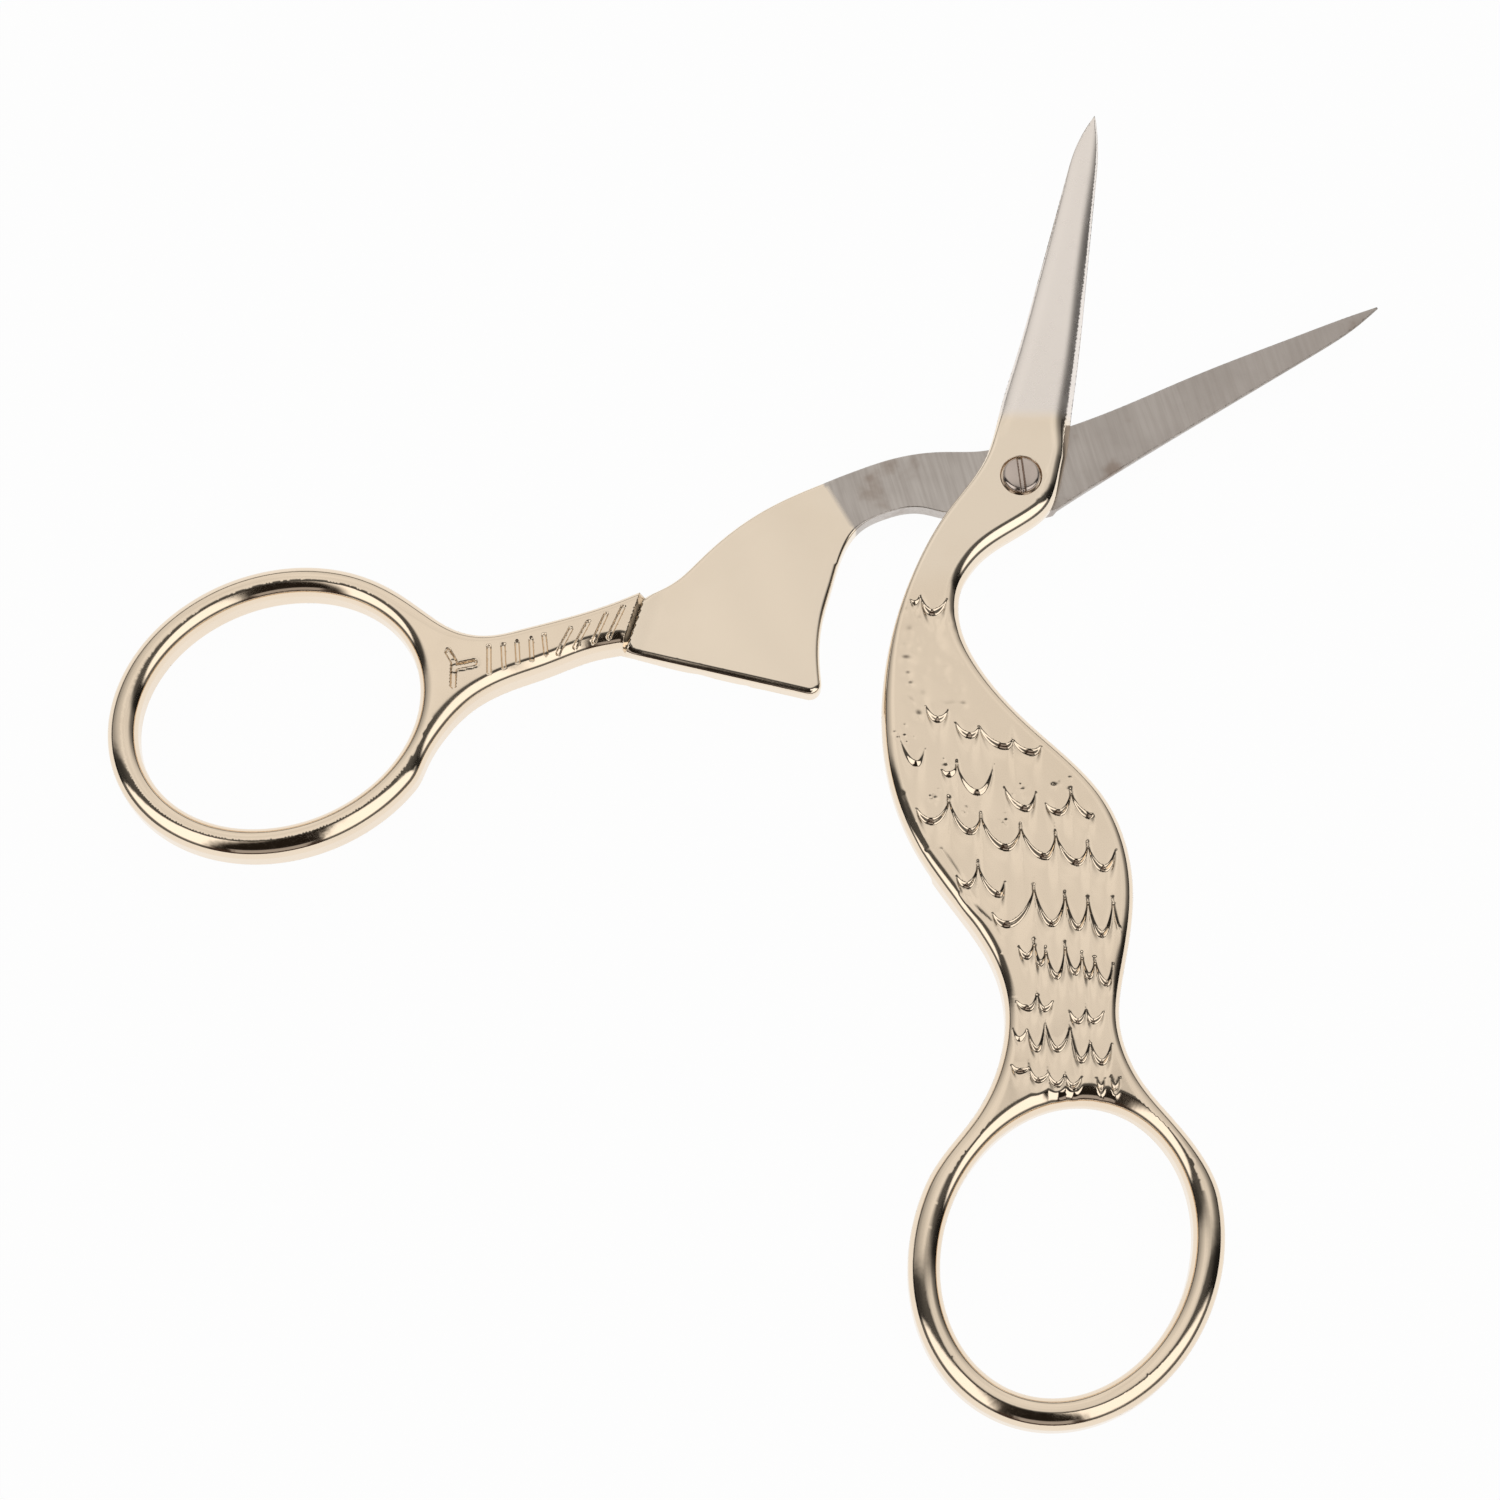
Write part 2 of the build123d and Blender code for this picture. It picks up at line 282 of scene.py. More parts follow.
def rear_loops():
    rim, finger, into, out = ring_edges(REAR_ANGLE, REAR_TURN, REAR_RIM)
    edge = turned(blade_edge_rear[::-1][:-2], REAR_BLADE)
    top = np.concatenate([edge, turned(rear_top, REAR_ANGLE), rim[:1]])
    leg = np.concatenate([rim[-1:], turned(rear_leg, REAR_ANGLE)])
    corner, leg_end = turned([rear_corner, rear_leg[-1]], REAR_ANGLE)
    neck = turned(rear_neck, REAR_ANGLE)
    arc = rounded_corner(leg_end, corner, neck[0])
    heel = turned([rear_heel], REAR_ANGLE)
    back = turned(blade_back_rear[::-1][1:], REAR_BLADE)
    outer = join(
        smooth_curve(top, last=into), rim,
        smooth_curve(leg, first=out), straight(leg_end, arc[0]), arc,
        smooth_curve(np.concatenate([arc[-1:], neck])), straight(neck[-1], heel[0]), smooth_curve(back),
    )
    return [outer, finger, circle(REAR_BORE, BORE_STEP)]


def ease(low, high, x):
    """A smooth rise of x from 0 at low to 1 at high."""
    t = np.clip((x - low) / (high - low), 0, 1)
    return t * t * (3 - 2 * t)


def blend(a, b, share):
    return a * (1 - share) + b * share


def soft_min(a, b, k):
    """The lower of two heights, with the corner between them rounded."""
    h = np.clip(0.5 + 0.5 * (b - a) / k, 0, 1)
    return b + (a - b) * h - k * h * (1 - h)


def line_distance(x, y, line):
    """Distance to a chain of straight pieces."""
    d = np.full(len(x), 1e9)
    p = np.stack([x, y], 1)
    for a, b in zip(line[:-1], line[1:]):
        ab = b - a
        t = np.clip(((p - a) @ ab) / (ab @ ab), 0, 1)
        d = np.minimum(d, np.hypot(*(p - a - t[:, None] * ab).T))
    return d


def left_of(a, b):
    """Unit vectors to the left of the way from a to b."""
    d = b - a
    d /= np.hypot(*d.T)[:, None]
    return np.stack([-d[:, 1], d[:, 0]], 1)


class Border:
    """The closed loops round a shape, the outer one first."""

    # Nearer than this, the direction away from the border is its own normal
    ON_BORDER = 0.02
    # How many points are tested at a time
    BLOCK = 4000

    def __init__(self, loops):
        right_way = []
        for loop in loops:
            nxt = np.roll(loop, -1, axis=0)
            left_turning = np.sum(loop[:, 0] * nxt[:, 1] - nxt[:, 0] * loop[:, 1]) > 0
            right_way.append(loop if left_turning == (not right_way) else loop[::-1])
        counts = [len(loop) for loop in loops]
        self.a = np.concatenate(right_way)
        self.ids = np.repeat(range(len(loops)), counts)
        self.before, self.after = np.arange(len(self.a)) - 1, np.arange(len(self.a)) + 1
        for end, count in zip(np.cumsum(counts), counts):
            self.before[end - count], self.after[end - 1] = end - 1, end - count
        self.b = self.a[self.after]
        normal = left_of(self.a, self.b)
        self.n = normal + normal[self.before]
        self.n /= np.maximum(np.hypot(*self.n.T), 1e-6)[:, None]
        self.tree = KDTree(len(self.a))
        for i, p in enumerate(self.a):
            self.tree.insert((p[0], p[1], 0), i)
        self.tree.balance()

    def near(self, x, y):
        """Distance, direction away from the border, the nearest piece and the share along it."""
        p = np.stack([x, y], 1)
        k = np.array([self.tree.find((u, v, 0))[1] for u, v in p])
        seg = np.stack([k, self.before[k]])
        a = self.a[seg]
        ab = self.b[seg] - a
        t = np.clip(np.sum((p - a) * ab, 2) / np.maximum(np.sum(ab * ab, 2), 1e-12), 0, 1)
        q = a + ab * t[:, :, None]
        d = np.hypot(*(p - q).T).T
        nearer = (d[1] < d[0]).astype(int), np.arange(len(p))
        d, q, seg, t = d[nearer], q[nearer], seg[nearer], t[nearer]
        normal = left_of(self.a[seg], self.b[seg])
        away = np.where(d[:, None] > self.ON_BORDER, (p - q) / np.maximum(d, 1e-9)[:, None], normal)
        return d, away, seg, t

    def between(self, values, seg, t):
        """Values given at the border's vertices, read at places between them."""
        return values[seg] * (1 - t) + values[self.after[seg]] * t

    def inside(self, x, y):
        """Which points lie between the outer loop and the holes."""
        out = np.zeros(len(x), bool)
        ax, ay = self.a[None, :, 0], self.a[None, :, 1]
        bx, by = self.b[None, :, 0], self.b[None, :, 1]
        for i in range(0, len(x), self.BLOCK):
            u, v = x[i:i + self.BLOCK, None], y[i:i + self.BLOCK, None]
            cross = (ay > v) != (by > v)
            at = ax + (v - ay) / np.where(by == ay, 1e-12, by - ay) * (bx - ax)
            out[i:i + self.BLOCK] = np.sum(cross & (u < at), 1) % 2 == 1
        return out


# The edge and the back of each blade
front_edge_line = turned(blade_edge_front + [(BLADE, -0.05)], FRONT_BLADE)
front_edge_side = smooth_curve(np.concatenate([front_head[3:], front_edge_line]))
front_back_line = turned([(BLADE, 0.15)] + blade_back_front, FRONT_BLADE)
head_back_line = turned([(-2.1, -2.8), (0.5, -4.4)], FRONT_ANGLE)
front_back_side = smooth_curve(np.concatenate([front_back_line, head_back_line]))
rear_edge_side = smooth_curve(turned(blade_edge_rear[1:], REAR_BLADE))
rear_back_side = smooth_curve(turned(blade_back_rear[:-1], REAR_BLADE))
# Width of each blade's rounded back, and the share of the thickness left at its rim
FRONT_BACK = (1.7, 0.52)
REAR_BACK = (2.0, 0.22)
# The steep strip along a cutting edge: width at the tip, gain by the root, where, and the slopes
STRIP_TIP, STRIP_GAIN = 0.16, 0.30
STRIP_FROM, STRIP_TO = 26, 5
STRIP_SLOPE, BEVEL_SLOPE, BEVEL_BLEND = 2.3, 0.78, 0.45
# Where a blade's thickness starts along its line, and the most it may be before and after rounding
BLADE_START = -2.5
THICK_BEFORE, THICK_AFTER = 2.2, BLADE_THICK + 0.02


def blade_height(x, y, angle, edge_side, back_side, back):
    """Thickness of a ground blade over its flat face."""
    back_width, back_left = back
    along, _ = local(x, y, angle)
    out = np.full(len(x), BLADE_THICK)
    m = along > BLADE_START
    u = along[m]
    taper = BLADE_THICK + (TIP_THICK - BLADE_THICK) * (u - BLADE_ROOT) / (BLADE - BLADE_ROOT)
    edge, rim = line_distance(x[m], y[m], edge_side), line_distance(x[m], y[m], back_side)
    strip = STRIP_TIP + STRIP_GAIN * ease(STRIP_FROM, STRIP_TO, u)
    bevel = EDGE_THICK + STRIP_SLOPE * np.minimum(edge, strip) + BEVEL_SLOPE * np.maximum(edge - strip, 0)
    z = soft_min(np.minimum(taper, THICK_BEFORE), bevel, BEVEL_BLEND)
    k = np.clip(1 - rim / back_width, 0, 0.999)
    z = z - np.maximum(z - back_left * taper, 0) * (1 - np.sqrt(1 - k * k))
    out[m] = np.minimum(z, THICK_AFTER)
    return out


# Feather rows: cusp, tip, cusp, tip and so on, in pixels of the photograph
feather_rows = [
    [(920, 597), (932, 613), (947, 600)],
    [(925, 706), (938, 720), (948, 711)],
    [(955, 723), (971, 736), (979, 729)],
    [(979, 727), (1006, 747), (1013, 741), (1033, 753), (1041, 747)],
    [(898, 734), (917, 764), (925, 749)],
    [(941, 770), (949, 775), (957, 768), (978, 793), (994, 764)],
    [(1004, 788), (1027, 809), (1036, 793)],
    [(1045, 804), (1060, 813), (1071, 795), (1093, 817)],
    [(916, 809), (932, 822), (949, 803), (971, 832), (981, 819), (1007, 848), (1021, 830), (1046, 857),
     (1056, 837), (1078, 863), (1088, 848), (1104, 869), (1116, 850)],
    [(956, 876), (967, 886), (978, 868), (1000, 895), (1005, 882)],
    [(992, 913), (1007, 925), (1034, 891), (1052, 924), (1065, 899), (1078, 928), (1088, 904), (1102, 935),
     (1113, 904), (1119, 926)],
    [(1018, 947), (1027, 957), (1034, 946), (1040, 964), (1046, 954), (1057, 977), (1065, 949), (1075, 973),
     (1082, 959), (1089, 977), (1095, 964), (1107, 984), (1113, 964)],
    [(1016, 1002), (1029, 1009), (1037, 996), (1044, 1010), (1053, 1002)],
    [(1069, 1012), (1078, 1022), (1086, 1011), (1093, 1022), (1104, 1012)],
    [(1027, 1031), (1037, 1050), (1045, 1024), (1057, 1050), (1070, 1029), (1081, 1061), (1090, 1044),
     (1102, 1063), (1112, 1044)],
    [(1011, 1066), (1019, 1072), (1029, 1069), (1038, 1081), (1048, 1075), (1057, 1085), (1065, 1076),
     (1073, 1087), (1082, 1077)],
    [(1096, 1078), (1101, 1089), (1105, 1078)],
    [(1110, 1077), (1115, 1089), (1120, 1078)],
    [(1012, 1029), (1019, 1040), (1027, 1031)],
    [(910, 601), (915, 604), (920, 598)],
]
# How far each row's lobes reach towards the head, and how deep the wall at their tips is
feather_reach = [
    2.0, 1.5, 1.5, 1.8, 2.2, 1.7, 1.8, 1.9, 2.0, 1.8, 1.6, 1.3, 0.9, 0.9, 1.0, 0.8, 0.5, 0.5, 0.6, 0.6]
feather_depth = [
    0.34, 0.30, 0.33, 0.35, 0.13, 0.22, 0.32, 0.35, 0.37, 0.35, 0.36, 0.35, 0.34, 0.34, 0.35, 0.36,
    0.32, 0.32, 0.28, 0.30]
# Grooves on the body's left side, in pixels too, with their depths and width
grooves = [
    [(941, 850), (958, 874), (975, 899)],
    [(962, 893), (978, 911), (995, 926)],
    [(903, 795), (912, 822), (926, 848)],
]
groove_depths = (0.03, 0.04, 0.04)
GROOVE_WIDTH = 0.22
# Points on each side of a lobe, and how round its end is
LOBE_POINTS = 14
LOBE_ROUND = 0.85


def scallops(row):
    """A row in the front handle's frame: a chain of round lobes, and how full each lobe is there."""
    pts = marked(row, FRONT_ANGLE)
    chain, hump = [], []
    for i in range(len(pts) - 1):
        (u0, v0), (u1, v1) = pts[i], pts[i + 1]
        s = np.linspace(0, 1, LOBE_POINTS)
        if i < len(pts) - 2:
            s = s[:-1]
        t = s if i % 2 == 0 else 1 - s
        low, high = (u0, u1) if i % 2 == 0 else (u1, u0)
        curve = (1 - (1 - t) ** 2) ** LOBE_ROUND
        chain += list(zip(low + (high - low) * curve, v0 + (v1 - v0) * s))
        hump += list(curve)
    return np.array(chain), np.array(hump)


rows = [scallops(row) for row in feather_rows]
groove_lines = [marked(line, FRONT_ANGLE) for line in grooves]

# Pits on the neck, and specks round the body's smudges: place, radius and depth
PITS = 70
SPECKS_EACH = 9
SPECK_SPREAD = 0.42
chance = np.random.default_rng(11)
pits = list(zip(
    chance.uniform(11.8, 21.5, PITS), chance.uniform(-11.0, -6.0, PITS),
    chance.uniform(0.26, 0.62, PITS), chance.uniform(0.010, 0.034, PITS)))
smudges = [(932, 798), (966, 812), (1003, 822), (1024, 788), (1061, 786), (905, 735), (948, 765)]
specks = [
    (u + chance.normal(0, SPECK_SPREAD), v + chance.normal(0, SPECK_SPREAD),
     chance.uniform(0.12, 0.26), chance.uniform(0.01, 0.03))
    for u, v in marked(smudges, FRONT_ANGLE) for _ in range(SPECKS_EACH)]

# Fine creases that run down from the cusps of the body's rows
cusp_lines = []
for row, length in zip(feather_rows[5:12], (1.6, 1.4, 1.8, 2.6, 1.8, 2.6, 1.8)):
    for u, v in marked(row[2:-1:2], FRONT_ANGLE):
        bend, end = (u + length * 0.5, v + 0.05), (u + length, v - 0.08)
        cusp_lines.append(np.array([(u - 0.5, v - 0.02), bend, end]))
CREASE_DEPTH, CREASE_WIDTH, CREASE_LEFT = 0.075, 0.11, 0.25

# The part of the front handle that has relief
BODY_FROM, BODY_TO = 9.0, 56.5
# How far its relief reaches beside a row, and up or down from it
ROW_BESIDE, ROW_BEYOND = 0.7, 5
# The hollow below a row spreads at its two ends, farther from the wall
FAN_START, FAN_SPREAD, FAN_LIMIT = 0.14, 0.75, 1.6
FAN_OUT, FAN_OUT_SPREAD = 0.08, 0.3
# Half the width of a wall, and the share of its depth: at a cusp, and what a full lobe adds
WALL_CUSP, WALL_LOBE = 0.10, 0.17
DEPTH_CUSP, DEPTH_LOBE = 0.30, 0.70
# The share of a row's reach over which the hollow fades
HOLLOW_FADE = 0.7
# A lobe rises at its tip, sinks at its cusps, and fades towards the head and the row's ends
LOBE_RISE, LOBE_SINK, LOBE_FADE = 0.19, 0.07, 1.7
LOBE_OUTSIDE, LOBE_INSIDE = 0.1, 0.9


def along_row(first, last, outside, inside, x):
    """1 along a row, with a soft rise at its first place and a soft fall at its last."""
    return ease(first - outside, first + inside, x) * (1 - ease(last - inside, last + outside, x))


def feather_relief(x, y):
    """The relief on the bird's body, in mm, above or below its plain surface."""
    u, v = local(x, y, FRONT_ANGLE)
    z = np.zeros(len(x))
    m = (u > BODY_FROM) & (u < BODY_TO)
    u, v = u[m], v[m]
    r = np.zeros(len(u))
    for (chain, hump), reach, depth in zip(rows, feather_reach, feather_depth):
        cu, cv = chain.T
        near = (v > cv[0] - ROW_BESIDE) & (v < cv[-1] + ROW_BESIDE)
        near &= (u > cu.min() - ROW_BEYOND) & (u < cu.max() + ROW_BEYOND)
        a, b = u[near], v[near]
        edge, h = np.interp(b, cv, cu), np.interp(b, cv, hump)
        gone = a - edge
        d = line_distance(a, b, chain) * np.where(gone > 0, 1, -1)
        fan = FAN_START + FAN_SPREAD * np.clip(gone, 0, FAN_LIMIT)
        ends = along_row(cv[0], cv[-1], FAN_OUT + FAN_OUT_SPREAD * fan, fan, b)
        full = (DEPTH_CUSP + DEPTH_LOBE * h) * ends
        width = WALL_CUSP + WALL_LOBE * h
        step = ease(-width, width, d)
        below = -depth * full * np.exp(-np.maximum(gone, 0) / (HOLLOW_FADE * reach)) * step
        lobe = np.clip(-gone / reach, 0, 1)
        inner = along_row(cv[0], cv[-1], LOBE_OUTSIDE, LOBE_INSIDE, b)
        above = (LOBE_RISE * h - LOBE_SINK) * (1 - lobe) ** LOBE_FADE * (1 - step) * inner
        r[near] += below + above
    for line, depth in zip(groove_lines, groove_depths):
        r -= depth * np.exp(-(line_distance(u, v, line) / GROOVE_WIDTH) ** 2)
    for line in cusp_lines:
        low, high = line[0][0], line[-1][0]
        near = (u > low - 0.5) & (u < high + 0.5) & (abs(v - line[0][1]) < 0.8)
        d = line_distance(u[near], v[near], line)
        fade = CREASE_LEFT + (1 - CREASE_LEFT) * (1 - ease(low + 0.4, high, u[near]))
        r[near] -= CREASE_DEPTH * np.exp(-(d / CREASE_WIDTH) ** 2) * fade
    for pu, pv, size, depth in pits + specks:
        d2 = ((u - pu) ** 2 + (v - pv) ** 2) / size**2
        r -= depth * np.exp(-np.minimum(d2, 30))
    z[m] = r
    return z


def waves(x, y):
    """The slight unevenness of polished castings."""
    height = 0.020
    return height * np.sin(x * 0.61 + 0.8 * np.sin(y * 0.37)) * np.sin(y * 0.53 + 1.1 * np.sin(x * 0.29))


# Strokes on the leg and beside the ring, in pixels of the photograph: start and end of each
leg_strokes = [
    [(489, 648), (489, 672)], [(503, 646), (504, 667)], [(517, 643), (518, 662)], [(531, 640), (532, 659)],
    [(544, 636), (546, 654)], [(571, 629), (558, 653)], [(588, 623), (575, 647)], [(606, 615), (594, 641)],
    [(623, 608), (609, 637)]]
foot_strokes = [[(448, 652), (454, 662)], [(454, 662), (453, 686)], [(455, 667), (474, 663)]]
# Half the width of a stroke, and its depth
LEG_STROKE = (0.17, 0.16)
FOOT_STROKE = (0.22, 0.30)
strokes = [(marked(ends, REAR_ANGLE), *LEG_STROKE) for ends in leg_strokes]
strokes += [(marked(ends, REAR_ANGLE), *FOOT_STROKE) for ends in foot_strokes]
# Half the width of a stroke's wall, and the low lip beside it: height, distance and width
STROKE_WALL = 0.07
LIP_HEIGHT, LIP_BESIDE, LIP_WIDTH = 0.035, 0.16, 0.10


def stroke_relief(x, y):
    """The relief on the leg, in mm, above or below its plain surface."""
    u, v = local(x, y, REAR_ANGLE)
    z = np.zeros(len(x))
    m = (u > 34) & (u < 53) & (abs(v) < 6)
    r = np.zeros(m.sum())
    for line, half, depth in strokes:
        d = line_distance(u[m], v[m], line)
        r = np.minimum(r, -depth * (1 - ease(half - STROKE_WALL, half + STROKE_WALL, d)))
        r += LIP_HEIGHT * np.exp(-((d - half - LIP_BESIDE) / LIP_WIDTH) ** 2)
    z[m] = r
    return z


def side_of(x, y, line):
    """Signed distance from a line through two places, positive on the pivot's side."""
    (ax, ay), (bx, by) = line
    nx, ny = -(by - ay), bx - ax
    s = ((x - ax) * nx + (y - ay) * ny) / hypot(nx, ny)
    return s if ax * nx + ay * ny < 0 else -s


# The pocket under the body is this much larger than the closed plate
POCKET_GAP = 0.75
# The step at the leg's upper end, and the plate's lower edge in the closed pose
step_ends = turned([(33.96, -0.60), (37.2, 3.85)], REAR_ANGLE)
pocket_ends = turned([(37.27, 3.5), (22.18, 12.75)], REAR_ANGLE + FRONT_BLADE - REAR_BLADE)

# How far the upper face lies under the solid's, and the under face's own and least height
FACE_SINK = 0.02
UNDER_REST, UNDER_LEAST = 0.06, 0.015
# Where a face turns into its blade, along the blade line
FRONT_BLEND = (2.6, 6.4)
REAR_BLEND = (-1.6, 1.8)
# The step at the leg: width of its wall, and width and height of the hollow at its foot
STEP_WALL = 0.34
HOLLOW_WIDTH, HOLLOW_HEIGHT = 1.8, 0.15
# The slanted line at which the plate ends, and how much lower the ground neck lies
NECK_SLANT = 0.25
NECK_EDGE = (14.6, 14.75)
NECK_DROP = 0.03


def front_rest(x, y):
    """The front half's upper surface before its edges are rounded, and where they are rounded."""
    blade = ease(*FRONT_BLEND, local(x, y, FRONT_BLADE)[0])
    u, _ = local(x, y, FRONT_ANGLE)
    face = FULL - FACE_SINK + feather_relief(x, y) + waves(x, y) * ease(8, 14, u)
    face -= SEAT_DEPTH * (1 - ease(SEAT_IN, SEAT_OUT, np.hypot(x, y)))
    low = MATING + blade_height(x, y, FRONT_BLADE, front_edge_side, front_back_side, FRONT_BACK)
    return blend(face, low, blade), 1 - blade


def front_under(x, y):
    """The front half's under surface: the bird's other side, and the pocket for the plate."""
    thick = 1 - ease(-0.10, 0.10, side_of(x, y, pocket_ends) + POCKET_GAP)
    face = np.maximum(UNDER_REST - feather_relief(x, y), UNDER_LEAST) * thick
    return face * thick + MATING * (1 - thick), thick


def rear_rest(x, y):
    """The rear half's upper surface: leg, step, plate and ground neck."""
    s = side_of(x, y, step_ends)
    u, v = local(x, y, REAR_ANGLE)
    wall = np.clip(s / STEP_WALL, 0, 1)
    hollow = np.clip(s / HOLLOW_WIDTH, 0, 1)
    face = np.maximum(HALF + (FULL - HALF) * (1 - wall) ** 2, HALF + HOLLOW_HEIGHT * (1 - hollow) ** 2)
    face = face + stroke_relief(x, y) + waves(x, y) * ease(12.5, 20, u) * 0.8
    face -= NECK_DROP * (1 - ease(*NECK_EDGE, u + NECK_SLANT * v)) * ease(-6, -2, u)
    return face, np.ones(len(x))


def rear_under(x, y):
    """The rear half's under surface: the bird's other side, and the ground blade."""
    blade = ease(*REAR_BLEND, local(x, y, REAR_BLADE)[0])
    u, _ = local(x, y, REAR_ANGLE)
    closed_x, closed_y = turned(np.stack([x, y], 1), FRONT_BLADE - REAR_BLADE).T
    relief = feather_relief(closed_x, closed_y) * (1 - ease(31, 33, u))
    face = np.maximum(UNDER_REST - relief, UNDER_LEAST)
    low = HALF - blade_height(x, y, REAR_BLADE, rear_edge_side, rear_back_side, REAR_BACK)
    return blend(face, low, blade), 1 - blade


# Numbers of a border's inner loops, and the rounding of an edge that looks sharp
FINGER_HOLE, BORE = 1, 2
SHARP = 0.05
# Width and height of the rounded edge at the rings, outside and in the finger hole
RING_ROUND = (1.62, 1.32)
HOLE_ROUND = (1.28, 1.30)
# The same at the head's left and right sides, and at the body
HEAD_LEFT, HEAD_RIGHT, BODY_ROUND = (0.45, 0.42), (1.40, 1.40), (1.10, 1.15)
# The same at the leg's upper and lower sides
LEG_UPPER, LEG_LOWER = (0.75, 0.7), (1.35, 1.35)
# The middle line of the head and neck, along and across the front handle line
NECK_ALONG = [-6, 0, 5, 10, 15, 20, 30]
NECK_ACROSS = [0.3, -0.4, -4.6, -8.2, -8.6, -7.0, -3.0]


def on_loops(loop, size, hole):
    """A size on the border, with its own value in the finger hole and in the bore."""
    return np.where(loop == BORE, SHARP, np.where(loop == FINGER_HOLE, hole, size))


def front_round(x, y, loop):
    """Width and height of the rounded edge at places on the front half's border."""
    u, v = local(x, y, FRONT_ANGLE)
    ring = ease(49.0, 57.0, u)
    right = ease(-0.7, 0.7, v - np.interp(u, NECK_ALONG, NECK_ACROSS))
    neck = ease(9.0, 22.0, u)
    hole = HOLE_ROUND[0] + 0.5 * (1 - ease(53.5, 59.0, u))
    sizes = []
    for left, full, body, at_ring in zip(HEAD_LEFT, HEAD_RIGHT, BODY_ROUND, RING_ROUND):
        size = blend(left + (full - left) * right, body, neck)
        sizes.append(on_loops(loop, size + (at_ring - size) * ring, hole))
    return sizes


def front_round_under(x, y, loop):
    thick = side_of(x, y, pocket_ends) + POCKET_GAP < 0
    return [np.where(thick, size, SHARP) for size in front_round(x, y, loop)]


def rear_round(x, y, loop):
    """Width and height of the rounded edge at places on the rear half's border."""
    u, v = local(x, y, REAR_ANGLE)
    lower = v > 1.6
    ring = ease(47.0, 56.0, u)
    plate = (0.28 + 0.24 * (v > 2)) * ease(12.5, 15.5, u + NECK_SLANT * v) + 0.10
    on_plate = ease(0.1, 0.9, side_of(x, y, step_ends))
    sizes = []
    for above, below, at_ring, share, hole in zip(LEG_UPPER, LEG_LOWER, RING_ROUND, (1, 0.8), HOLE_ROUND):
        leg = np.where(lower, below, above)
        size = blend(leg + (at_ring - leg) * ring, plate * share, on_plate)
        sizes.append(on_loops(loop, size, hole))
    return sizes


def rear_round_under(x, y, loop):
    u, _ = local(x, y, REAR_ANGLE)
    ring = ease(47.0, 56.0, u)
    leg = ease(33.0, 37.0, u)
    blade = ease(0.5, 3.0, local(x, y, REAR_BLADE)[0])
    width = blend(0.35 + 0.55 * leg + 0.38 * ring, SHARP, blade)
    height = blend(0.35 + 0.50 * leg + 0.45 * ring, SHARP, blade)
    return [on_loops(loop, size, hole) for size, hole in zip((width, height), HOLE_ROUND)]


def face_heights(x, y, border, rounds, rest, sign):
    """Heights and unit normals of a face: its own form less its rounded edges."""
    d, away, seg, t = border.near(x, y)
    wide, high = (border.between(size, seg, t) for size in rounds)
    k = np.clip(1 - d / wide, 0, 0.9992)
    drop = high * (1 - np.sqrt(1 - k * k))
    slope = high / wide * k / np.sqrt(1 - k * k)
    base, share = rest(x, y)
    e = 0.025
    gx = (rest(x + e, y)[0] - rest(x - e, y)[0]) / (2 * e)
    gy = (rest(x, y + e)[0] - rest(x, y - e)[0]) / (2 * e)
    z = base - sign * drop * share
    gx = gx + sign * slope * away[:, 0] * share
    gy = gy + sign * slope * away[:, 1] * share
    return z, unit_normals(gx, gy) * sign


def unit_normals(gx, gy):
    n = np.stack([-gx, -gy, np.ones(len(gx))], 1)
    return n / np.linalg.norm(n, axis=1)[:, None]


def thinned(points, cell_size, kept=0):
    """Points with only the first of each small square cell, and all of the first few."""
    cell = np.round(points / cell_size).astype(int)
    cell[:kept] = np.stack([np.arange(kept), np.full(kept, -10**6)], 1)
    return points[np.sort(np.unique(cell, axis=0, return_index=True)[1])]


def net(points, edges):
    """A net of triangles on points, with the edges kept."""
    verts, _, tris, *_ = delaunay_2d_cdt([Vector(p) for p in points], edges, [], 0, 1e-7, True)
    return np.array([v[:] for v in verts]), np.array([t for t in tris if len(t) == 3])


def smooth_object(name, points, faces, normals):
    """An object from points in mm, faces, and one normal for each corner of each face."""
    mesh = bpy.data.meshes.new(name)
    mesh.from_pydata((np.concatenate(points) * MM).tolist(), [], faces)
    mesh.polygons.foreach_set("use_smooth", np.ones(len(mesh.polygons), bool))
    mesh.update()
    mesh.normals_split_custom_set(np.concatenate(normals).tolist())
    obj = bpy.data.objects.new(name, mesh)
    bpy.context.scene.collection.objects.link(obj)
    return obj


# Rows of points across a rounded edge, as shares of its width, and how near they may lie
ROUND_SHARES = (0.025, 0.09, 0.19, 0.33, 0.50, 0.72, 1.0)
ROW_KEEPS = 0.93
# Spacing of the points inside, and how far they stay from the border and from others
COARSE, FINE = 0.55, 0.17
CLEAR_OF_BORDER = 0.06
CLEAR_OF_OTHERS = 0.045
# Rows of points on the walls between the two faces
WALL_ROWS = 3


